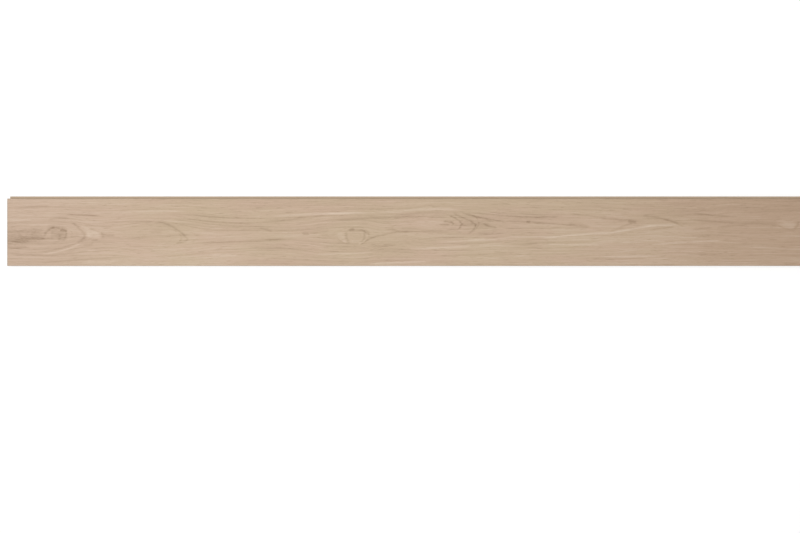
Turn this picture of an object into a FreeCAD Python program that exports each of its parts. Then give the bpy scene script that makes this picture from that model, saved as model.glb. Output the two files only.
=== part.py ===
"""A wide plank floorboard of solid oak, matched all round with a tongue and a groove.

The board lies on its back, face up. +X runs along the board towards the end with the tongue, +Y across it
towards the edge with the tongue, and +Z up. The origin is at the bottom centre of the whole board,
tongues included.

It is made in the order a mill works: the moulder runs the section with its tongue, groove and bevels,
saws the relief kerfs into the back, and the end matcher then cuts a tongue across one end and a groove
across the other.
"""

import FreeCAD
import Part
import Sketcher
import math
import os

# Driving dimensions in millimetres, apart from the number of kerfs.
SIZES = {
    "face_width": 180,       # what the board covers on a floor, without its tongue
    "face_length": 2200,     # the same along the board
    "thickness": 20,
    "micro_bevel": 1,        # both legs of the 45 degree bevel round the face
    "face_to_tongue": 7,     # wood that can wear away above the tongue
    "tongue_thick": 6,
    "tongue_reach": 6,       # how far a tongue stands out past the face
    "tongue_ease": 0.8,      # chamfer on the tongue's two corners
    "groove_play": 0.3,      # the groove is taller than the tongue by this
    "groove_spare": 0.7,     # the groove is deeper than the tongue is long by this
    "groove_lead": 0.5,      # chamfer on the groove's mouth
    "lip_setback": 0.5,      # the lip under the groove stands back, so that the faces close first
    "kerf_count": 5,
    "kerf_pitch": 30,
    "kerf_width": 4,
    "kerf_depth": 4,
    "end_trim": 8,           # waste left at each end of the moulded blank for the end matcher
}

# Heights in the section, from the back at 0 up to the face. The groove is centred on the tongue.
FACE = "sizes.thickness"
BEVEL_FOOT = "(sizes.thickness - sizes.micro_bevel)"
TONGUE_TOP = "(sizes.thickness - sizes.face_to_tongue)"
TONGUE_BOTTOM = f"({TONGUE_TOP} - sizes.tongue_thick)"
GROOVE_TOP = f"({TONGUE_TOP} + sizes.groove_play / 2)"
GROOVE_BOTTOM = f"({TONGUE_BOTTOM} - sizes.groove_play / 2)"
GROOVE_DEPTH = "(sizes.tongue_reach + sizes.groove_spare)"

# Where the tips of the tongues and the edges on the groove's side are, from the origin.
WIDTH_LIMIT = "((sizes.face_width + sizes.tongue_reach) / 2)"
LENGTH_LIMIT = "((sizes.face_length + sizes.tongue_reach) / 2)"


def make_sheet(doc):
    """Holds the driving dimensions, one alias a row."""
    sheet = doc.addObject("Spreadsheet::Sheet", "sizes")
    for row, (alias, value) in enumerate(SIZES.items(), start=1):
        sheet.set(f"A{row}", alias)
        sheet.set(f"B{row}", str(value))
        sheet.setAlias(f"B{row}", alias)
    doc.recompute()


def tongue_edge(tip, beyond="0"):
    """Corners of an edge with a tongue, from the back up to the face, for a tongue that ends at tip.
    Its first and last corners lie past the board by beyond."""
    shoulder = f"{tip} - sizes.tongue_reach"
    eased_tip = f"{tip} - sizes.tongue_ease"
    return [
        (shoulder, f"-({beyond})"),
        (shoulder, TONGUE_BOTTOM),
        (eased_tip, TONGUE_BOTTOM),
        (tip, f"{TONGUE_BOTTOM} + sizes.tongue_ease"),
        (tip, f"{TONGUE_TOP} - sizes.tongue_ease"),
        (eased_tip, TONGUE_TOP),
        (shoulder, TONGUE_TOP),
        (shoulder, BEVEL_FOOT),
        (f"{shoulder} - sizes.micro_bevel - {beyond}", f"{FACE} + {beyond}"),
    ]


def groove_edge(edge, beyond="0"):
    """Corners of an edge with a groove, from the face down to the back, for a face that ends at edge.
    Its first and last corners lie past the board by beyond."""
    lower_lip = f"{edge} + sizes.lip_setback"
    groove_end = f"{edge} + {GROOVE_DEPTH}"
    return [
        (f"{edge} + sizes.micro_bevel + {beyond}", f"{FACE} + {beyond}"),
        (edge, BEVEL_FOOT),
        (edge, f"{GROOVE_TOP} + sizes.groove_lead"),
        (f"{edge} + sizes.groove_lead", GROOVE_TOP),
        (groove_end, GROOVE_TOP),
        (groove_end, GROOVE_BOTTOM),
        (f"{lower_lip} + sizes.groove_lead", GROOVE_BOTTOM),
        (lower_lip, f"{GROOVE_BOTTOM} - sizes.groove_lead"),
        (lower_lip, f"-({beyond})"),
    ]


def draw_outline(body, name, plane, corners):
    """A closed outline of straight lines, whose corners are pairs of expressions over the sheet.
    The lines start as a loose ring. Level and upright ones are constrained as such, and every other
    coordinate is a dimension from the origin, bound to its expression."""
    sketch = body.newObject("Sketcher::SketchObject", name)
    planes = {feature.Role: feature for feature in body.Origin.OriginFeatures}
    sketch.AttachmentSupport = [(planes[plane], "")]
    sketch.MapMode = "FlatFace"

    count = len(corners)
    turn = 2 * math.pi / count
    loose = [FreeCAD.Vector(math.cos(i * turn), math.sin(i * turn), 0) for i in range(count)]
    for i in range(count):
        sketch.addGeometry(Part.LineSegment(loose[i], loose[(i + 1) % count]), False)

    start, end = 1, 2
    origin = (-1, 1)
    for i, (x, y) in enumerate(corners):
        before = (i - 1) % count
        sketch.addConstraint(Sketcher.Constraint("Coincident", before, end, i, start))
        if x == corners[before][0]:
            sketch.addConstraint(Sketcher.Constraint("Vertical", before))
        else:
            across = sketch.addConstraint(Sketcher.Constraint("DistanceX", *origin, i, start, loose[i].x))
            sketch.setExpression(f"Constraints[{across}]", x)
        if y == corners[before][1]:
            sketch.addConstraint(Sketcher.Constraint("Horizontal", before))
        else:
            up = sketch.addConstraint(Sketcher.Constraint("DistanceY", *origin, i, start, loose[i].y))
            sketch.setExpression(f"Constraints[{up}]", y)
    return sketch


def cut_through(body, name, sketch):
    """Cuts the sketch's outline right through the board, both ways from its plane."""
    pocket = body.newObject("PartDesign::Pocket", name)
    pocket.Profile = sketch
    pocket.Type = "ThroughAll"
    pocket.SideType = "Symmetric"
    return pocket


def mould_section(body):
    """The moulded blank: the section run along the board, with waste at both ends."""
    section = tongue_edge(WIDTH_LIMIT) + groove_edge(f"-{WIDTH_LIMIT}")
    blank = body.newObject("PartDesign::Pad", "moulded_blank")
    blank.Profile = draw_outline(body, "section", "YZ_Plane", section)
    blank.SideType = "Symmetric"
    blank.setExpression("Length", f"2 * ({LENGTH_LIMIT} + sizes.end_trim)")


def saw_kerfs(body):
    """Relief kerfs along the back, about the middle of the face, which keep the board from cupping."""
    middle = "(-sizes.tongue_reach / 2)"
    first = f"{middle} - sizes.kerf_pitch * (sizes.kerf_count - 1) / 2"
    left = f"{first} - sizes.kerf_width / 2"
    right = f"{first} + sizes.kerf_width / 2"
    below = "-sizes.kerf_depth"
    kerf_outline = [(left, below), (right, below), (right, "sizes.kerf_depth"), (left, "sizes.kerf_depth")]
    sketch = draw_outline(body, "kerf_outline", "YZ_Plane", kerf_outline)
    kerf = cut_through(body, "kerf", sketch)

    kerfs = body.newObject("PartDesign::LinearPattern", "kerfs")
    kerfs.Originals = [kerf]
    kerfs.Direction = (sketch, ["H_Axis"])
    kerfs.Mode = "Spacing"
    kerfs.setExpression("Offset", "sizes.kerf_pitch")
    kerfs.setExpression("Occurrences", "sizes.kerf_count")
    body.Tip = kerfs


def match_ends(body):
    """A tongue across the +X end and a groove across the other, in line with those on the long edges."""
    waste = "(2 * sizes.end_trim)"
    tongue = tongue_edge(LENGTH_LIMIT, waste)
    tongue_cutter = tongue + [
        (f"{LENGTH_LIMIT} + {waste}", tongue[-1][1]),
        (f"{LENGTH_LIMIT} + {waste}", tongue[0][1]),
    ]
    cut_through(body, "end_tongue", draw_outline(body, "end_tongue_cutter", "XZ_Plane", tongue_cutter))

    groove = groove_edge(f"-{LENGTH_LIMIT}", waste)
    groove_cutter = groove + [
        (f"-{LENGTH_LIMIT} - {waste}", groove[-1][1]),
        (f"-{LENGTH_LIMIT} - {waste}", groove[0][1]),
    ]
    cut_through(body, "end_groove", draw_outline(body, "end_groove_cutter", "XZ_Plane", groove_cutter))


def check(doc, sub_parts):
    """Stops before anything is written if a feature failed or a sub-part isn't one valid solid."""
    for item in doc.Objects:
        if "Invalid" in item.State or "Error" in item.State:
            raise RuntimeError(f"{item.Label} failed: {item.State}")
    for part in sub_parts:
        if part.Shape.isNull() or not part.Shape.isValid() or len(part.Shape.Solids) != 1:
            raise RuntimeError(f"{part.Label} isn't one valid solid")


def main():
    doc = FreeCAD.newDocument("floorboard")
    make_sheet(doc)
    board = doc.addObject("PartDesign::Body", "floorboard")
    board.Label = "floorboard"
    mould_section(board)
    doc.recompute()
    saw_kerfs(board)
    doc.recompute()
    match_ends(board)
    doc.recompute()

    sub_parts = [board]
    check(doc, sub_parts)
    os.makedirs("parts", exist_ok=True)
    for part in sub_parts:
        part.Shape.exportStep(f"parts/{part.Label}.step")
        box = part.Shape.BoundBox
        print(part.Label, "volume mm3", round(part.Shape.Volume, 1), "faces", len(part.Shape.Faces))
        print("  x", box.XMin, box.XMax, "y", box.YMin, box.YMax, "z", box.ZMin, box.ZMax)


main()
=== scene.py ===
"""The looks of a wide oak floorboard: brushed, matte oiled face, bare milled edges and back, end grain.

The board's figure is one solid field of growth rings round a pith that lies under the face, so face,
edges and ends agree. The marks that a cut through such wood shows, such as knots, arcs and mineral
lines, lie on the face as strokes. The same fields colour the wood and brush its face into relief.
"""

import math

import bmesh
import bpy
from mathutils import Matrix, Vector


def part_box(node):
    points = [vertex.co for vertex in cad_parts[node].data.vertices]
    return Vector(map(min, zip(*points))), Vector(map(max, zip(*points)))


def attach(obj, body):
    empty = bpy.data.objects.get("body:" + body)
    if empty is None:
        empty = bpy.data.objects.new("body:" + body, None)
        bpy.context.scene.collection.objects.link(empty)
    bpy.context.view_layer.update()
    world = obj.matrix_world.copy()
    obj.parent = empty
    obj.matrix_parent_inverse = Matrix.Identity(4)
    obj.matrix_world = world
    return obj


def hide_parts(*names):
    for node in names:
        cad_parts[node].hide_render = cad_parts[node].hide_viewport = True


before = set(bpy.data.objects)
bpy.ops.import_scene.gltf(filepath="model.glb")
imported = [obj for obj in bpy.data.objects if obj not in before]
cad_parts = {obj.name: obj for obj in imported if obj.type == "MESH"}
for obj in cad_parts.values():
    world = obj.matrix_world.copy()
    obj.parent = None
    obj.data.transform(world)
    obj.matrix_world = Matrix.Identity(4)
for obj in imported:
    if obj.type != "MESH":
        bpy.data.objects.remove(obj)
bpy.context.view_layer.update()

MM = 0.001
BOARD = "floorboard"
LOW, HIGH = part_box(BOARD)
THICKNESS = (HIGH[2] - LOW[2]) / MM

# Sizes of the board, in millimetres: how far its tongues stand out, the bevel round its face, and the
# borders of the face, with the bevel inside them.
TONGUE_REACH = 6
MICRO_BEVEL = 1
FACE_LEFT = LOW[0] / MM
FACE_RIGHT = HIGH[0] / MM - TONGUE_REACH
FACE_NEAR = LOW[1] / MM
FACE_FAR = HIGH[1] / MM - TONGUE_REACH

# Mesh of the face: cells along and across the board, and the small round on the bevel's arrises.
CELLS_ALONG = 432
CELLS_ACROSS = 150
ARRIS = 0.25

# How near counts as touching, in metres, and the share of the face's width that counts as all of it.
TOUCH = 1e-6
MOST_OF_WIDTH = 0.9

# Angles between two faces, in degrees: up to the first they are one flat face, and from the second on
# their edge is sharp.
FLAT_ANGLE = 0.5
SHARP_ANGLE = 28

# The board's materials, in the order of its slots, and how far a normal leans at least: to +Z on the
# oiled face, and along X on the ends.
OILED, MILLED, END_CUT = range(3)
FACING_UP = 0.3
FACING_END = 0.5

# The UV map: its name, how much finer the oiled face lies in it than the other sides, and the lowest row
# and the gap between rows, in millimetres of the other sides.
UV_MAP = "OFBake"
UV_FACE_SHARPNESS = 4
UV_LEAST_ROW = 8
UV_GAP = 5

# Growth rings, in millimetres. The heart line is where the pith runs below the face, as (x, y), and the
# pith's depth under the face grows along the board, as (x, depth), which points the figure's arcs to +X.
# Uneven growth moves a ring by up to its drift.
RING_WIDTH = 4.2
RING_DRIFT = 3
HEART_LINE = [
    (-1103, -20), (-960, -10), (-720, -16), (-400, -12), (-169, -14), (0, 10),
    (75, 21), (250, 18), (450, 14), (640, 20), (1000, 14), (1110, 14),
]
PITH_DEPTH = [
    (-1103, 52), (-960, 56), (-850, 62), (-621, 68), (-169, 74), (75, 80),
    (250, 90), (450, 97), (700, 105), (1000, 114), (1110, 118),
]

# Places where rings swirl round a knot or a bud: x, y, reach to the left and right, half height, rings.
SWIRLS = [
    (-965, -6, 150, 62, 26, 4.6),
    (-700, -16, 190, 60, 34, 2.6),
    (-169, -16, 34, 28, 17, 1.6),
    (68, 21, 170, 70, 24, 3.4),
]

# How much the grain closes in on the heart line, above 0, or spreads round knots, below 0, as (x, share).
CLOSING = [
    (-1103, -0.2), (-1000, -0.45), (-850, 0.1), (-700, -0.35), (-480, 0.45), (-300, 0.1), (-169, -0.4),
    (-80, 0.1), (75, -0.45), (250, 0.05), (458, 0.3), (660, 0.5), (850, 0.2), (1110, -0.1),
]
FIGURED_HALF_WIDTH = 45

# The open early wood that a ring starts with, in shares of the ring: where it sets in and where it fades
# out, and the faintest ring's share of the strongest.
EARLY_START = (0.0, 0.06)
EARLY_FADE = (0.35, 0.04)
FAINTEST_RING = 0.15

# How far the grain wavers across the board, slowly and quickly, in millimetres.
WANDER = 3.5
WAVER = 1.2

# Layers of noise in the wood: the length of their features along, across and through the board in
# millimetres, their finer octaves, and the span over which they rise from 0 to 1. A layer with no span
# stays from -1 to 1. Uneven rings run along the radius instead, and rays over the slope from the pith,
# the rings and x. The seed of a layer is its place in this list, and moves its noise by that many steps.
NOISE = {
    "wander": ((260, 70, 70), 0, None),
    "waver": ((80, 22, 22), 0, None),
    "uneven rings": ((17, 1, 1), 0, None),
    "breaks in early wood": ((45, 3, 3), 2, (-0.35, 0.45)),
    "ragged marks": ((14, 1.3, 1.3), 2, None),
    "bands": ((300, 8, 8), 1, None),
    "streaks": ((190, 2.2, 2.2), 2, None),
    "dashes": ((26, 1.7, 1.7), 1, (0.18, 0.45)),
    "glints": ((90, 1.6, 1.6), 1, (0.15, 0.5)),
    "pores": ((9, 0.4, 0.4), 1, None),
    "blush": ((170, 45, 45), 2, (-0.35, 0.45)),
    "clouds": ((240, 34, 34), 2, None),
    "bare fibres": ((70, 1.1, 1.1), 3, None),
    "rays": ((0.006, 14, 30), 0, (0.25, 0.5)),
    "end pores": ((3, 0.35, 0.35), 0, (0.05, 0.4)),
    "end fuzz": ((2, 0.9, 0.9), 3, None),
    "fibre ends": ((60, 1.7, 1.7), 2, None),
    "marked fibres": ((11, 0.6, 0.6), 2, None),
}
SEED_STEP = (17.3, 7.1, 3.7)

# Pores show over this span of their noise, to which early wood adds its share.
PORE_SPAN = (0.22, 0.5)
PORES_IN_EARLY = 0.55

# Marks on the face, each a stroke in millimetres: from x, y to x, y, the bow to the left of that way,
# half the width, and the tone, which is dark above 0 and pale below.
MARKS = {
    "heart streak at the left end": [
        (-1170, -20, -990, -13, 0, 16, 0.48),
        (-1150, -38, -1040, -33, 0, 10, 0.3),
        (-1088, -22, -998, -20, 0, 3, 0.35),
        (-1098, -29, -1042, -27, 0, 3, 0.28),
        (-1015, -21, -978, -19, 0, 1.8, 0.35),
        (-1150, -1, -1010, 0, 0, 2.5, 0.3),
        (-1102, -48, -1048, -42, 0, 2.2, 0.4),
    ],
    "pale dashes above the streak": [
        (-1098, 28, -1035, 30, 0, 1.8, -0.4),
        (-1050, 15, -985, 17, 0, 1.6, -0.4),
    ],
    "knot where the streak ends": [
        (-1005, -14, -974, 11, 5, 2.5, 0.6),
        (-984, 10, -961, 7, 1, 2.5, 0.5),
        (-962, 4, -941, 0, 0, 3.2, 0.9),
        (-946, 0, -955, -28, 4, 2.5, 0.42),
        (-963, -6, -964, -28, 0, 4, 0.3),
        (-990, -8, -944, -12, 0, 11, 0.35),
        (-1000, 7, -945, 5, 0, 9, 0.25),
        (-995, 30, -935, 33, 2, 2, 0.4),
    ],
    "arcs to the right of the knot": [
        (-930, 26, -892, -12, 0, 2.5, 0.45),
        (-894, -7, -918, -31, 5, 3, 0.5),
        (-916, -31, -1022, -56, 4, 1.8, 0.4),
        (-884, 7, -856, -2, 0, 2.2, 0.55),
        (-851, -1, -846, -19, 0, 3, 0.45),
        (-879, -26, -860, -24, 0, 2, 0.5),
        (-901, -37, -872, -33, -1, 2.2, 0.4),
        (-850, -12, -812, -13, 0, 3, 0.3),
    ],
    "pale patch between them": [
        (-893, -6, -856, -5, 0, 6, -0.4),
        (-892, -14, -852, -15, 0, 6, -0.42),
        (-906, 12, -884, 4, 0, 4, -0.3),
        (-900, -30, -1014, -61, 6, 1.8, -0.65),
        (-890, -53, -772, -44, 1, 1.8, -0.55),
    ],
    "arch": [
        (-860, 22, -690, 26, 1, 1.8, 0.4),
        (-706, 27, -616, -26, 10, 2.5, 0.55),
        (-617, -20, -652, -32, 3, 2.5, 0.45),
        (-725, -3, -685, -3, 0, 8, 0.22),
        (-945, 44, -855, 41, 0, 2, 0.55),
        (-881, -51, -690, -38, 1, 1.8, 0.4),
    ],
    "lines from the arch to the second knot": [
        (-670, 44, -295, 39, -19, 2, 0.5),
        (-645, 47, -220, 46, -12, 1.8, 0.4),
        (-660, 35, -370, 14, -9, 1.8, 0.35),
        (-620, -31, -335, -21, -2, 2, 0.5),
        (-600, 0, -405, 6, 1, 1.8, 0.25),
        (-430, 8, -392, -3, 1, 2.2, 0.4),
        (-405, 0, -198, 11, -2, 1.6, 0.3),
        (-315, -8, -295, -9, 0, 3, 0.65),
    ],
    "second knot": [
        (-196, 1, -142, -1, 2, 2.5, 0.55),
        (-189, 1, -173, 5, 1, 3.5, 0.55),
        (-152, 0, -134, -9, 0, 2.5, 0.5),
        (-197, 0, -186, -35, -3, 3, 0.45),
        (-147, 0, -158, -36, 3, 2.5, 0.5),
        (-248, -8, -200, -10, 0, 11, -0.25),
        (-164, -37, -145, -25, 0, 1.8, -0.6),
        (-146, -29, -104, -12, 3, 2, 0.55),
        (-114, -15, -15, -1, 4, 2.2, 0.55),
        (-60, -4, 80, 0, 1, 2, 0.4),
        (-205, -12, -200, -36, 0, 3, -0.3),
    ],
    "eye": [
        (52, 16, 82, 16, 0, 2, 0.7),
        (62, 25, 93, 20, 2, 2.5, 0.7),
        (82, 27, 80, 13, 9, 2, 0.45),
        (78, 42, 113, 19, 4, 2.2, 0.7),
        (112, 24, 104, 6, 2, 2.2, 0.55),
        (88, 48, 136, 27, 0, 2, 0.65),
        (132, 30, 153, 12, 1, 2.2, 0.6),
        (151, 18, 130, -4, 5, 2, 0.55),
        (170, 19, 208, 10, -2, 2.2, 0.6),
        (112, 50, 228, 26, -3, 2.2, 0.7),
        (105, 20, 190, 14, 0, 9, 0.25),
        (20, 34, 75, 38, 1, 3, 0.3),
    ],
    "spear to the right of the eye": [
        (200, 28, 460, 11, 2, 1.8, 0.48),
        (140, 50, 345, 36, -2, 1.8, 0.6),
        (285, 24, 297, 24, 0, 2.5, 0.6),
        (217, 8, 460, 12, -2, 1.6, 0.3),
        (395, 21, 456, 13, 0, 4, 0.3),
        (150, -10, 235, -6, 0, 2, 0.5),
        (10, -20, 120, -16, 0, 1.8, 0.35),
    ],
    "vees": [
        (300, 37, 372, 39, 0, 1.8, 0.4),
        (398, 46, 500, 34, 1, 1.8, 0.4),
        (480, 36, 594, 25, 0, 2.2, 0.5),
        (556, 26, 582, 22, 0, 3.5, 0.5),
        (570, 22, 536, 11, 0, 2.2, 0.45),
        (545, 13, 508, -1, 0, 2, 0.3),
        (600, 40, 708, 11, 6, 2.2, 0.6),
        (612, 2, 684, 12, 0, 2, 0.4),
    ],
    "pale lines under the spear and the vees": [
        (330, -18, 525, -4, 2, 2, -0.75),
        (505, -5, 635, 16, 0, 1.9, -0.65),
        (600, 14, 705, 17, 0, 2.2, -0.55),
        (225, -14, 375, -16, 0, 1.8, -0.4),
        (619, -36, 822, -24, 1, 2, -0.65),
    ],
    "right end": [
        (726, 49, 836, 39, -1, 2, 0.5),
        (710, 34, 865, 23, -2, 2, 0.45),
        (728, 4, 785, 10, 0, 1.8, 0.45),
        (795, 11, 880, 16, 1, 2, 0.4),
        (850, 20, 980, 15, 2, 4, 0.4),
        (956, 18, 1008, 3, -4, 2, 0.4),
        (1002, 5, 1014, 27, -2, 2.5, 0.5),
        (738, -17, 780, -11, 0, 2, 0.35),
        (795, -4, 835, -5, 0, 1.8, 0.3),
        (952, 18, 1006, 15, 0, 8, -0.4),
    ],
    "lines by the far edge": [
        (-238, 30, 46, 39, 2, 2.2, 0.4),
        (-1085, 60, -983, 66, 1, 2, 0.35),
        (-806, 48, -624, 53, 2, 2, -0.5),
        (-394, 40, -142, 50, 1, 2.2, -0.5),
        (-276, 45, -40, 52, 0, 2.5, -0.55),
        (-65, 50, 112, 57, 6, 3, -0.65),
    ],
    "lines by the near edge": [
        (-1090, -64, -962, -66, 0, 1.8, 0.35),
        (-1015, -85, -760, -69, 2, 1.8, 0.4),
        (-905, -84, -800, -81, 0, 3, -0.35),
        (-131, -42, -62, -37, 0, 2.5, 0.3),
        (30, -68, 271, -60, 1, 2, 0.3),
        (271, -32, 485, -27, 0, 1.8, 0.45),
        (285, -36, 505, -36, 0, 1.8, -0.5),
        (460, -76, 610, -73, 0, 1.8, 0.4),
        (712, -62, 805, -63, 0, 1.8, 0.4),
        (-565, -64, -479, -65, 0, 2, -0.5),
        (-276, -63, -115, -57, 0, 2, -0.5),
        (-147, -89, 40, -80, 0, 2, -0.75),
        (46, -29, 287, -20, 0, 2, -0.45),
        (128, -24, 180, -21, 0, 2, -0.4),
        (-40, -50, 271, -37, 2, 2.5, -0.5),
        (490, -69, 645, -67, 0, 1.7, -0.6),
    ],
    "broad areas": [
        (-1160, 76, -660, 72, 0, 14, -0.12),
        (-1160, 42, -960, 40, 0, 14, -0.14),
        (-625, -8, -540, -6, 0, 10, -0.15),
        (-560, 73, -40, 72, 0, 14, 0.14),
        (540, 66, 1180, 62, 0, 26, 0.12),
        (-260, 40, 420, 36, 0, 18, 0.1),
        (-25, 11, 65, 14, 0, 12, -0.12),
        (-520, -18, -150, -18, 0, 12, -0.16),
        (300, -24, 760, -18, 0, 24, -0.25),
        (-860, -48, -440, -48, 0, 12, -0.12),
        (-480, -47, 40, -49, 0, 13, 0.2),
        (-960, -74, -440, -76, 0, 20, -0.22),
        (-60, -78, 1180, -74, 0, 16, -0.1),
    ],
}

# How marks are drawn: the pace at which they fade out on their outer side, how steeply they grow from
# their ends, how far the fibres that they cross end unevenly, in millimetres, the share of the grain's
# waver that they follow, and the mean and swing of their strength, over coarse and then over fine fibres.
WIDER_SIDE = 0.7
TAPER = 7
FIBRE_ENDS = 6
MARKS_WAVER = 0.35
RAGGED_MEAN, RAGGED_SWING = 0.95, 0.5
FIBRE_MEAN, FIBRE_SWING = 0.88, 0.9

# What way * (1 - way) comes to halfway along a mark, where its bow is fullest.
HALFWAY = 0.25

# Colours of the oiled face, linear. A tone of 1 is this share of the way to the darkest, and -1 to the
# palest. The blush takes its share of the way from tan to rose, and ash sets in along x towards the left
# end. Towards the right end the face turns darker and warmer along x: painted shade, where the light
# falls off along the board.
TAN = (0.541, 0.406, 0.275)
ROSE = (0.567, 0.396, 0.293)
ASH = (0.556, 0.403, 0.294)
RIGHT_END_SHADE = (0.498, 0.346, 0.238)
DARKEST = (0.209, 0.130, 0.065)
PALEST = (0.810, 0.686, 0.553)
TONE_SHARE = 0.5
BLUSH_SHARE = 0.6
ASH_SPAN = (-600, -1100)
RIGHT_END_SHADE_SPAN = (300, 1150)

# The oiled face: the tone and the roughness that each layer adds, its gloss, and its pores' depth in
# millimetres.
# The bevel's tone darkens the face's narrow border: partly oil that gathers there, and partly painted
# shade like that in the joint between laid boards.
FACE_TONE = {
    "early": 0.5, "bands": 0.28, "streaks": 0.5, "dashes": 0.5, "glints": -0.5,
    "marks": 1.0, "pores": 0.3, "clouds": -0.15, "bevel": 0.85,
}
FACE_ROUGHER = {"early": 0.12, "pores": 0.1}
FACE_ROUGHNESS = 0.56
FACE_SPECULAR = 0.35
FACE_DEPTH = 0.06

# Colours of the bare wood, linear.
BARE = (0.560, 0.430, 0.305)
BARE_DARK = (0.430, 0.305, 0.190)
END_GRAIN = (0.470, 0.335, 0.215)
END_PORE = (0.250, 0.165, 0.098)
END_RAY = (0.640, 0.500, 0.350)

# The bare faces: the tone that each layer adds to the least, their gloss, and their relief in
# millimetres, with the pitch of the ripple that the turning cutters leave and its share of the relief.
BARE_TONE = {"early": 0.55, "fibres": 0.35, "pores": 0.45}
BARE_LEAST_TONE = 0.05
BARE_ROUGHNESS = 0.82
BARE_SPECULAR = 0.25
BARE_DEPTH = 0.05
CUTTER_PITCH = 1.6
CUTTER_SHARE = 0.2

# The ends: the tone that each layer adds, their gloss, and their relief in millimetres, of which fuzz
# takes a share.
END_TONE = {"open pores": 0.9, "early": 0.35, "fuzz": 0.12, "rays": -0.35}
END_ROUGHNESS = 0.9
END_SPECULAR = 0.2
END_DEPTH = 0.08
FUZZ_SHARE = 0.4

# Relief of the brushed face, in millimetres: in early wood, in dark marks, and the strip along the bevel
# over which it sets in.
BRUSHED_DEPTH = 0.16
MARK_DEPTH = 0.18
FADE_AT_EDGE = 3.0

# The picture: its frame and where the board's face lies in it, in pixels, the camera's lens and sensor in
# millimetres, and how far it sees in metres.
PICTURE_WIDTH = 800
PICTURE_HEIGHT = 533
FACE_LEFT_PX = 7.2
FACE_FAR_PX = 198.6
FACE_WIDTH_PX = 67.3
LENS = 100
SENSOR = 36
CLIP_END = 100

# The floor: its size and how far it lies below the board, in metres, its grey, and the glow that shows it
# white. Near the board it shows a share of its glow, with the board's shadow in the rest, and the shadow
# ends over a span of distances in millimetres.
FLOOR_SIZE = 40
FLOOR_DROP = 0.0001
FLOOR_GREY = 0.88
FLOOR_GLOW = 1.25
GLOW_SHARE = 0.55
SHADOW_SPAN = (1300, 2400)

# The light: a square lamp, in metres and watts, and the strength of the even surround.
LAMP_SIZE = 2.2
LAMP_POWER = 140
LAMP_PLACE = (-1.0, 0.3, 4.8)
SURROUND = 0.4


class Field:
    """A value that varies over the wood: the output of a node, with arithmetic for numbers."""

    def __init__(self, tree, socket):
        self.tree = tree
        self.socket = socket

    def math(self, operation, *others):
        return math_node(self.tree, operation, self, *others)

    def __add__(self, other):
        return self.math("ADD", other)

    def __sub__(self, other):
        return self.math("SUBTRACT", other)

    def __rsub__(self, other):
        return math_node(self.tree, "SUBTRACT", other, self)

    def __mul__(self, other):
        return self.math("MULTIPLY", other)

    def __truediv__(self, other):
        return self.math("DIVIDE", other)

    __radd__ = __add__
    __rmul__ = __mul__

    def clamped(self):
        """The same, kept from 0 to 1."""
        node = self.tree.nodes.new("ShaderNodeClamp")
        plug(self, node.inputs["Value"])
        return Field(self.tree, node.outputs[0])

    def rise(self, low, high):
        """0 up to low, 1 from high on, and a smooth rise between. A high below low falls instead."""
        node = self.tree.nodes.new("ShaderNodeMapRange")
        node.interpolation_type = "SMOOTHSTEP"
        node.clamp = False
        plug(self, node.inputs["Value"])
        node.inputs["From Min"].default_value = min(low, high)
        node.inputs["From Max"].default_value = max(low, high)
        node.inputs["To Min"].default_value = 0.0 if low < high else 1.0
        node.inputs["To Max"].default_value = 1.0 if low < high else 0.0
        return Field(self.tree, node.outputs["Result"])


def plug(value, socket):
    """Gives a socket a field or a plain value."""
    if isinstance(value, Field):
        value.tree.links.new(value.socket, socket)
    else:
        socket.default_value = value


def math_node(tree, operation, *values):
    node = tree.nodes.new("ShaderNodeMath")
    node.operation = operation
    for value, socket in zip(values, node.inputs):
        plug(value, socket)
    return Field(tree, node.outputs[0])


def point(x, y, z):
    """Three numbers as one position."""
    node = x.tree.nodes.new("ShaderNodeCombineXYZ")
    for value, socket in zip((x, y, z), node.inputs):
        plug(value, socket)
    return Field(x.tree, node.outputs[0])


def noise(at, name):
    """A layer of noise at a position: smooth, from about -1 to 1, or from 0 to 1 where it has a span."""
    lengths, octaves, span = NOISE[name]
    seed = list(NOISE).index(name)
    scale = at.tree.nodes.new("ShaderNodeVectorMath")
    scale.operation = "MULTIPLY_ADD"
    plug(at, scale.inputs[0])
    scale.inputs[1].default_value = [1.0 / length for length in lengths]
    scale.inputs[2].default_value = [seed * step for step in SEED_STEP]
    node = at.tree.nodes.new("ShaderNodeTexNoise")
    node.inputs["Scale"].default_value = 1.0
    node.inputs["Detail"].default_value = octaves
    at.tree.links.new(scale.outputs[0], node.inputs["Vector"])
    value = Field(at.tree, node.outputs[0]) * 2.0 - 1.0
    return value.rise(*span) if span else value


def white_noise(value):
    """A steady random number from 0 to 1 for each value."""
    node = value.tree.nodes.new("ShaderNodeTexWhiteNoise")
    node.noise_dimensions = "1D"
    plug(value, node.inputs["W"])
    return Field(value.tree, node.outputs[0])


def along_board(x, points):
    """A smooth curve over x through the points, each an x in millimetres and a value."""
    first, last = points[0][0], points[-1][0]
    lowest = min(y for _, y in points)
    highest = max(y for _, y in points)
    node = x.tree.nodes.new("ShaderNodeFloatCurve")
    curve = node.mapping.curves[0]
    while len(curve.points) < len(points):
        curve.points.new(0.5, 0.5)
    for (px, py), handle in zip(points, curve.points):
        handle.location = ((px - first) / (last - first), (py - lowest) / (highest - lowest))
        handle.handle_type = "AUTO_CLAMPED"
    node.mapping.update()
    plug((x - first) / (last - first), node.inputs["Value"])
    return Field(x.tree, node.outputs[0]) * (highest - lowest) + lowest


def millimetres(tree, vector):
    """The three coordinates of a position in metres, as fields in millimetres."""
    split = tree.nodes.new("ShaderNodeSeparateXYZ")
    tree.links.new(vector, split.inputs[0])
    return [Field(tree, output) / MM for output in split.outputs]


def wander(x, y, z):
    """How far the grain wavers across the board."""
    at = point(x, y, z)
    return WANDER * noise(at, "wander") + WAVER * noise(at, "waver")


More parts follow.
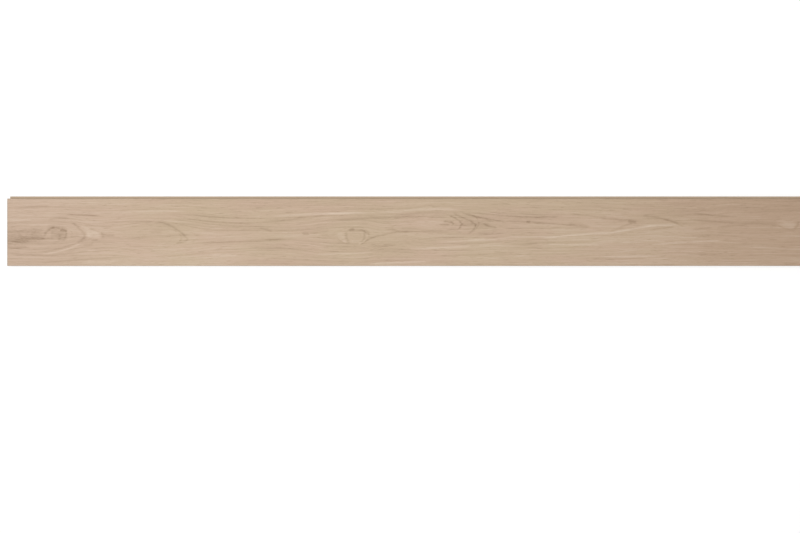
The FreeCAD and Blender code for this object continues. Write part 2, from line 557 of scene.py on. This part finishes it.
def along_grain(x, y, z):
    """The position with y measured across the grain, which wavers, and spreads round knots."""
    off = y - along_board(x, HEART_LINE)
    near = (off * off * (-1.0 / FIGURED_HALF_WIDTH ** 2)).math("EXPONENT")
    return x, y + wander(x, y, z) + off * near * along_board(x, CLOSING), z


def rings(x, y, z):
    """How many growth rings lie between the pith and each point."""
    across = y - along_board(x, HEART_LINE)
    up = along_board(x, PITH_DEPTH) + (z - THICKNESS)
    radius = (across * across + up * up).math("SQRT")
    for at_x, at_y, left, right, tall, count in SWIRLS:
        dx = x - at_x
        dx = dx / (dx.math("GREATER_THAN", 0.0) * (right - left) + left)
        dy = (y - at_y) / tall
        near = (dx * dx + dy * dy).math("MULTIPLY", -1.0).math("EXPONENT")
        radius = radius - near * (count * RING_WIDTH)
    return (radius + RING_DRIFT * noise(point(radius, 0.0, 0.0), "uneven rings")) / RING_WIDTH


def early_wood(count):
    """The open, darker wood that each ring starts with: sharp inside, fading outwards, each its own."""
    ring = count.math("FLOOR")
    part = count - ring
    strength = white_noise(ring)
    strength = strength * strength * (1.0 - FAINTEST_RING) + FAINTEST_RING
    return part.rise(*EARLY_START) * part.rise(*EARLY_FADE) * strength


def stroke_group(kind):
    """A node group for one stroke: a bowed line with tapered ends, which fades out wider on one side."""
    name = f"stroke_{kind}"
    if name in bpy.data.node_groups:
        return bpy.data.node_groups[name]
    tree = bpy.data.node_groups.new(name, kind)
    names = ("x", "y", "way_x", "way_y", "way_0", "off_x", "off_y", "off_0", "bow", "tone")
    for value in names:
        tree.interface.new_socket(value, in_out="INPUT", socket_type="NodeSocketFloat")
    tree.interface.new_socket("stroke", in_out="OUTPUT", socket_type="NodeSocketFloat")
    given = tree.nodes.new("NodeGroupInput").outputs
    x, y, way_x, way_y, way_0, off_x, off_y, off_0, bow, tone = (Field(tree, given[n]) for n in names)
    way = (x * way_x + y * way_y + way_0).clamped()
    middle = way * (1.0 - way)
    off = x * off_x + y * off_y + off_0 - middle * bow
    off = (off * WIDER_SIDE).math("MAXIMUM", off * -1.0)
    soft = (off * off * -1.0).math("EXPONENT")
    plug(soft * (middle * TAPER).clamped() * tone, tree.nodes.new("NodeGroupOutput").inputs[0])
    return tree


def strokes(x, y):
    """The sum of the marks. Each goes to a group as plane equations: how far along it a point lies, and
    how far off it, to the outside of its bow."""
    kind = x.tree.bl_idname
    total = 0.0
    for x0, y0, x1, y1, bow, half_width, tone in (mark for marks in MARKS.values() for mark in marks):
        length = math.hypot(x1 - x0, y1 - y0)
        ux, uy = (x1 - x0) / length, (y1 - y0) / length
        outwards = math.copysign(1.0 / half_width, bow)
        values = {
            "x": x, "y": y,
            "way_x": ux / length, "way_y": uy / length, "way_0": -(x0 * ux + y0 * uy) / length,
            "off_x": -uy * outwards, "off_y": ux * outwards, "off_0": (x0 * uy - y0 * ux) * outwards,
            "bow": bow / HALFWAY * outwards, "tone": tone,
        }
        node = x.tree.nodes.new(kind.replace("NodeTree", "NodeGroup"))
        node.node_tree = stroke_group(kind)
        for name, value in values.items():
            plug(value, node.inputs[name])
        total = total + Field(x.tree, node.outputs[0])
    return total


def figure(x, y, z):
    """The position along the grain, and the face's layers there: early wood, grain and marks."""
    grain_place = along_grain(x, y, z)
    grain = point(*grain_place)
    plain = point(x, y, z)
    layers = {name: noise(grain, name) for name in ("bands", "streaks", "dashes", "glints")}
    layers["early"] = early_wood(rings(*grain_place)) * noise(grain, "breaks in early wood")
    fibre_x = x + FIBRE_ENDS * noise(plain, "fibre ends")
    mark_y = y + MARKS_WAVER * wander(x, y, z)
    ragged = noise(plain, "ragged marks") * RAGGED_SWING + RAGGED_MEAN
    layers["marks"] = strokes(fibre_x, mark_y) * ragged
    return grain, layers


def to_border(x, y):
    """How far inside the face's border a point lies, with the bevel inside it."""
    to_end = (x - FACE_LEFT).math("MINIMUM", FACE_RIGHT - x)
    to_edge = (y - FACE_NEAR).math("MINIMUM", FACE_FAR - y)
    return to_end.math("MINIMUM", to_edge)


def pores(grain, early=0.0):
    """Fine open pores, cut lengthwise, which lie close together in the early wood."""
    return (noise(grain, "pores") + early * PORES_IN_EARLY).rise(*PORE_SPAN)


def weighted(layers, weights):
    """The sum of the layers that weights names, each times its weight."""
    return sum(layers[name] * weight for name, weight in weights.items())


def mix_colour(factor, first, second):
    """A blend of two colours, each a tuple or a field."""
    node = factor.tree.nodes.new("ShaderNodeMix")
    node.data_type = "RGBA"
    plug(factor, node.inputs["Factor"])
    colours = [socket for socket in node.inputs if socket.type == "RGBA"]
    for value, socket in zip((first, second), colours):
        plug(value if isinstance(value, Field) else (*value, 1.0), socket)
    blend = next(socket for socket in node.outputs if socket.type == "RGBA")
    return Field(factor.tree, blend)


def toned(tone, base, darkest, palest):
    """The base colour, towards the darkest where tone is above 0 and the palest where it is below."""
    colour = mix_colour(tone.clamped(), base, darkest)
    return mix_colour((tone * -1.0).clamped(), colour, palest)


def new_material(name):
    """A material with its shader, and the wood's position in millimetres."""
    material = bpy.data.materials.new(name)
    material.use_nodes = True
    tree = material.node_tree
    place = tree.nodes.new("ShaderNodeTexCoord")
    return material, tree.nodes["Principled BSDF"], millimetres(tree, place.outputs["Object"])


def add_bump(shader, height, depth):
    """Shading relief, where a height of 1 stands depth millimetres above a height of 0."""
    tree = height.tree
    bump = tree.nodes.new("ShaderNodeBump")
    bump.inputs["Distance"].default_value = depth * MM
    plug(height, bump.inputs["Height"])
    tree.links.new(bump.outputs["Normal"], shader.inputs["Normal"])


def oiled_oak():
    """The face: brushed oak under a matte oil."""
    material, shader, (x, y, z) = new_material("oiled_oak")
    grain, layers = figure(x, y, z)
    plain = point(x, y, z)
    layers["marks"] = layers["marks"] * (noise(grain, "marked fibres") * FIBRE_SWING + FIBRE_MEAN)
    layers["pores"] = pores(grain, layers["early"] + layers["marks"].clamped())
    layers["clouds"] = noise(plain, "clouds")
    # The bevel round the face is toned darker: partly oil that gathers there, and partly painted shade
    # like that in the joint between laid boards.
    layers["bevel"] = to_border(x, y).rise(MICRO_BEVEL + ARRIS, MICRO_BEVEL - ARRIS)
    base = mix_colour(noise(plain, "blush") * BLUSH_SHARE, TAN, ROSE)
    base = mix_colour(x.rise(*ASH_SPAN), base, ASH)
    # Painted shade: the face darkens and warms towards the right end, as where the light falls off along
    # the board.
    base = mix_colour(x.rise(*RIGHT_END_SHADE_SPAN), base, RIGHT_END_SHADE)
    tone = weighted(layers, FACE_TONE) * TONE_SHARE
    plug(toned(tone, base, DARKEST, PALEST), shader.inputs["Base Color"])
    plug(weighted(layers, FACE_ROUGHER) + FACE_ROUGHNESS, shader.inputs["Roughness"])
    shader.inputs["Specular IOR Level"].default_value = FACE_SPECULAR
    add_bump(shader, 1.0 - pores(grain), FACE_DEPTH)
    return material


def milled_oak():
    """The edges, the tongue, the groove and the back: bare, as the cutters leave them."""
    material, shader, (x, y, z) = new_material("milled_oak")
    grain_place = along_grain(x, y, z)
    grain = point(*grain_place)
    early = early_wood(rings(*grain_place))
    layers = {"early": early, "fibres": noise(grain, "bare fibres"), "pores": pores(grain, early)}
    tone = weighted(layers, BARE_TONE) + BARE_LEAST_TONE
    plug(mix_colour(tone.clamped(), BARE, BARE_DARK), shader.inputs["Base Color"])
    shader.inputs["Roughness"].default_value = BARE_ROUGHNESS
    shader.inputs["Specular IOR Level"].default_value = BARE_SPECULAR
    ripple = (x * (2 * math.pi / CUTTER_PITCH)).math("SINE")
    add_bump(shader, ripple * CUTTER_SHARE - layers["pores"], BARE_DEPTH)
    return material


def end_grain():
    """The ends: rings and rays cut straight across, with open pores in the early wood."""
    material, shader, (x, y, z) = new_material("end_grain_oak")
    count = rings(*along_grain(x, y, z))
    early = early_wood(count)
    slope = (y - along_board(x, HEART_LINE)) / (along_board(x, PITH_DEPTH) + (z - THICKNESS))
    plain = point(x, y, z)
    layers = {
        "open pores": early * noise(plain, "end pores"),
        "early": early,
        "fuzz": noise(plain, "end fuzz"),
        "rays": noise(point(slope, count, x), "rays"),
    }
    tone = weighted(layers, END_TONE)
    plug(toned(tone, END_GRAIN, END_PORE, END_RAY), shader.inputs["Base Color"])
    shader.inputs["Roughness"].default_value = END_ROUGHNESS
    shader.inputs["Specular IOR Level"].default_value = END_SPECULAR
    add_bump(shader, layers["fuzz"] * FUZZ_SHARE - layers["open pores"], END_DEPTH)
    return material


def planed_solid(node):
    """The board's solid as flat faces, without the triangles and doubled corners of its file."""
    solid = bmesh.new()
    solid.from_mesh(node.data)
    bmesh.ops.remove_doubles(solid, verts=solid.verts, dist=TOUCH)
    flat = math.radians(FLAT_ANGLE)
    bmesh.ops.dissolve_limit(solid, angle_limit=flat, verts=solid.verts, edges=solid.edges)
    return solid


def ease_arrises(solid):
    """Takes the sharpness off the face's four edges, where its bevels start."""
    face_level = THICKNESS * MM - TOUCH
    arrises = [edge for edge in solid.edges if all(v.co.z > face_level for v in edge.verts)]
    bmesh.ops.bevel(solid, geom=arrises, offset=ARRIS * MM, segments=2, profile=0.5, affect="EDGES")


def slice_faces(solid, faces, way, low, high, cells):
    """Cuts faces into even cells by planes square to a way, from low to high along it in millimetres."""
    step = (high - low) / cells
    for i in range(1, cells):
        at = (low + i * step) * MM
        edges = dict.fromkeys(edge for face in faces for edge in face.edges)
        corners = dict.fromkeys(corner for face in faces for corner in face.verts)
        cut = bmesh.ops.bisect_plane(
            solid, geom=[*corners, *edges, *faces], dist=TOUCH / 10, plane_co=way * at, plane_no=way
        )
        parts = [part for part in cut["geom"] if isinstance(part, bmesh.types.BMFace)]
        faces = [face for face in parts if max(v.co.dot(way) for v in face.verts) > at + TOUCH]


def spans_board(part):
    """Whether an edge or a face reaches across most of the board."""
    across = [v.co.y for v in part.verts]
    return max(across) - min(across) > (FACE_FAR - FACE_NEAR) * MM * MOST_OF_WIDTH


def slice_board(solid):
    """Cuts every long face into strips, the oiled face's strips and its end bevels into cells from edge
    to edge, and what is left at the ends into cells in line with those."""
    slice_faces(solid, list(solid.faces), Vector((1, 0, 0)), FACE_LEFT, FACE_RIGHT, CELLS_ALONG)
    bevel_foot = (THICKNESS - MICRO_BEVEL) * MM - TOUCH
    rungs = [
        edge for edge in solid.edges if spans_board(edge) and all(v.co.z > bevel_foot for v in edge.verts)
    ]
    bmesh.ops.subdivide_edges(solid, edges=rungs, cuts=CELLS_ACROSS - 1)
    ends = [face for face in solid.faces if spans_board(face)]
    slice_faces(solid, ends, Vector((0, 1, 0)), FACE_NEAR, FACE_FAR, CELLS_ACROSS)


def flat_sides(solid):
    """The faces in flat groups: each half of the oiled face, and the faces in each other plane."""
    sides = {}
    for face in solid.faces:
        spot = face.calc_center_median()
        if face.material_index == OILED:
            side = spot.x > 0
        else:
            side = (*(round(value, 2) for value in face.normal), round(spot.dot(face.normal) / MM, 2))
        sides.setdefault(side, []).append(face)
    return sides.values()


def as_shares(values):
    """The values as shares of their range, from 0 to 1."""
    low, high = min(values), max(values)
    return [(value - low) / (high - low) for value in values]


def unfold(solid):
    """Lays the sides out in a UV map, in rows of full width, most of its height for the oiled face."""
    uv_map = solid.loops.layers.uv.new(UV_MAP)
    rows = []
    for faces in flat_sides(solid):
        oiled = faces[0].material_index == OILED
        normal = Vector((0, 0, 1)) if oiled else faces[0].normal
        along = Vector((0, 1, 0)) if abs(normal.x) > FACING_END else Vector((1, 0, 0))
        across = normal.cross(along)
        corners = [corner for face in faces for corner in face.loops]
        us = [corner.vert.co.dot(along) for corner in corners]
        vs = [corner.vert.co.dot(across) for corner in corners]
        height = (max(vs) - min(vs)) / MM * (UV_FACE_SHARPNESS if oiled else 1)
        rows.append((corners, as_shares(us), as_shares(vs), max(height, UV_LEAST_ROW)))
    scale = 1 / sum(height + UV_GAP for *_, height in rows)
    bottom = 0
    for corners, us, vs, height in rows:
        for corner, u, v in zip(corners, us, vs):
            corner[uv_map].uv = (u, (bottom + v * height) * scale)
        bottom += height + UV_GAP


def brush(board):
    """Sinks the early wood and the dark marks of the face a little below the rest."""
    tree = bpy.data.node_groups.new("brushed_face", "GeometryNodeTree")
    tree.interface.new_socket("Geometry", in_out="INPUT", socket_type="NodeSocketGeometry")
    tree.interface.new_socket("Geometry", in_out="OUTPUT", socket_type="NodeSocketGeometry")
    source = tree.nodes.new("NodeGroupInput")
    result = tree.nodes.new("NodeGroupOutput")
    place = tree.nodes.new("GeometryNodeInputPosition")
    x, y, z = millimetres(tree, place.outputs[0])
    _, layers = figure(x, y, z)
    inside = to_border(x, y).rise(MICRO_BEVEL + ARRIS, MICRO_BEVEL + FADE_AT_EDGE)
    on_face = inside * z.math("GREATER_THAN", THICKNESS - ARRIS / 4)
    depth = layers["early"] * BRUSHED_DEPTH + layers["marks"].clamped() * MARK_DEPTH
    drop = tree.nodes.new("ShaderNodeCombineXYZ")
    plug(on_face * depth * -MM, drop.inputs["Z"])
    move = tree.nodes.new("GeometryNodeSetPosition")
    tree.links.new(source.outputs[0], move.inputs["Geometry"])
    tree.links.new(drop.outputs[0], move.inputs["Offset"])
    tree.links.new(move.outputs[0], result.inputs[0])
    modifier = board.modifiers.new("brushed_face", "NODES")
    modifier.node_group = tree
    shaped = board.evaluated_get(bpy.context.evaluated_depsgraph_get())
    mesh = bpy.data.meshes.new_from_object(shaped)
    board.modifiers.clear()
    board.data = mesh


def finish_of(face):
    """Which material a face of the board has."""
    centre = face.calc_center_median()
    if face.normal.z > FACING_UP and centre.z > (THICKNESS - MICRO_BEVEL) * MM:
        return OILED
    return END_CUT if abs(face.normal.x) > FACING_END else MILLED


def make_board(node):
    """The board as one piece: the solid with eased arrises, its finishes, and its face brushed."""
    solid = planed_solid(node)
    ease_arrises(solid)
    slice_board(solid)
    solid.normal_update()
    for face in solid.faces:
        face.material_index = finish_of(face)
        face.smooth = True
    unfold(solid)
    mesh = bpy.data.meshes.new("oak_board")
    solid.to_mesh(mesh)
    solid.free()
    for material in (oiled_oak(), milled_oak(), end_grain()):
        mesh.materials.append(material)
    board = bpy.data.objects.new("oak_board", mesh)
    bpy.context.scene.collection.objects.link(board)
    brush(board)
    board.data.set_sharp_from_angle(angle=math.radians(SHARP_ANGLE))
    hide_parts(BOARD)
    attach(board, "root")


def seen_directly(tree):
    """1 for what the camera sees, also in a reflection or through glass, and 0 for light on the board."""
    path = tree.nodes.new("ShaderNodeLightPath")
    camera, glossy, through = (
        Field(tree, path.outputs[f"Is {kind} Ray"]) for kind in ("Camera", "Glossy", "Transmission")
    )
    return (camera + glossy + through).clamped()


def make_floor():
    """A plain white floor, which shows white to the camera but keeps the board's soft shadow."""
    bpy.ops.mesh.primitive_plane_add(size=FLOOR_SIZE, location=(0, 0, -FLOOR_DROP))
    floor = bpy.context.object
    floor.name = "floor"
    material = bpy.data.materials.new("white_floor")
    material.use_nodes = True
    tree = material.node_tree
    tree.nodes.remove(tree.nodes["Principled BSDF"])
    matte = tree.nodes.new("ShaderNodeBsdfDiffuse")
    matte.inputs["Color"].default_value = (FLOOR_GREY, FLOOR_GREY, FLOOR_GREY, 1)
    glow = tree.nodes.new("ShaderNodeEmission")
    glow.inputs["Strength"].default_value = FLOOR_GLOW
    blend = tree.nodes.new("ShaderNodeMixShader")
    place = tree.nodes.new("ShaderNodeTexCoord")
    x, y, _ = millimetres(tree, place.outputs["Object"])
    far = (x * x + y * y).math("SQRT").rise(*SHADOW_SPAN)
    plug(seen_directly(tree) * (far * (1.0 - GLOW_SHARE) + GLOW_SHARE), blend.inputs["Fac"])
    tree.links.new(matte.outputs[0], blend.inputs[1])
    tree.links.new(glow.outputs[0], blend.inputs[2])
    tree.links.new(blend.outputs[0], tree.nodes["Material Output"].inputs["Surface"])
    floor.data.materials.append(material)


def make_light():
    """A large soft lamp high on the left, and an even pale surround that shows white to the camera."""
    lamp = bpy.data.lights.new("soft_lamp", "AREA")
    lamp.shape = "SQUARE"
    lamp.size = LAMP_SIZE
    lamp.energy = LAMP_POWER
    holder = bpy.data.objects.new("soft_lamp", lamp)
    holder.location = LAMP_PLACE
    bpy.context.scene.collection.objects.link(holder)

    world = bpy.data.worlds.new("surround")
    bpy.context.scene.world = world
    world.use_nodes = True
    tree = world.node_tree
    background = tree.nodes["Background"]
    background.inputs["Color"].default_value = (1, 1, 1, 1)
    plug(seen_directly(tree) * (1.0 - SURROUND) + SURROUND, background.inputs["Strength"])


def make_camera():
    """Looks straight down, so that the board lies in the picture as photographed."""
    metres_per_px = (FACE_FAR - FACE_NEAR) * MM / FACE_WIDTH_PX
    centre_x = FACE_LEFT * MM + (PICTURE_WIDTH / 2 - FACE_LEFT_PX) * metres_per_px
    centre_y = FACE_FAR * MM - (PICTURE_HEIGHT / 2 - FACE_FAR_PX) * metres_per_px
    distance = PICTURE_WIDTH * metres_per_px * LENS / SENSOR
    data = bpy.data.cameras.new("camera")
    data.lens = LENS
    data.sensor_width = SENSOR
    data.clip_end = CLIP_END
    camera = bpy.data.objects.new("camera", data)
    camera.location = (centre_x, centre_y, THICKNESS * MM + distance)
    bpy.context.scene.collection.objects.link(camera)
    bpy.context.scene.camera = camera


make_board(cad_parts[BOARD])
make_floor()
make_light()
make_camera()
bpy.context.scene.view_settings.view_transform = "Standard"
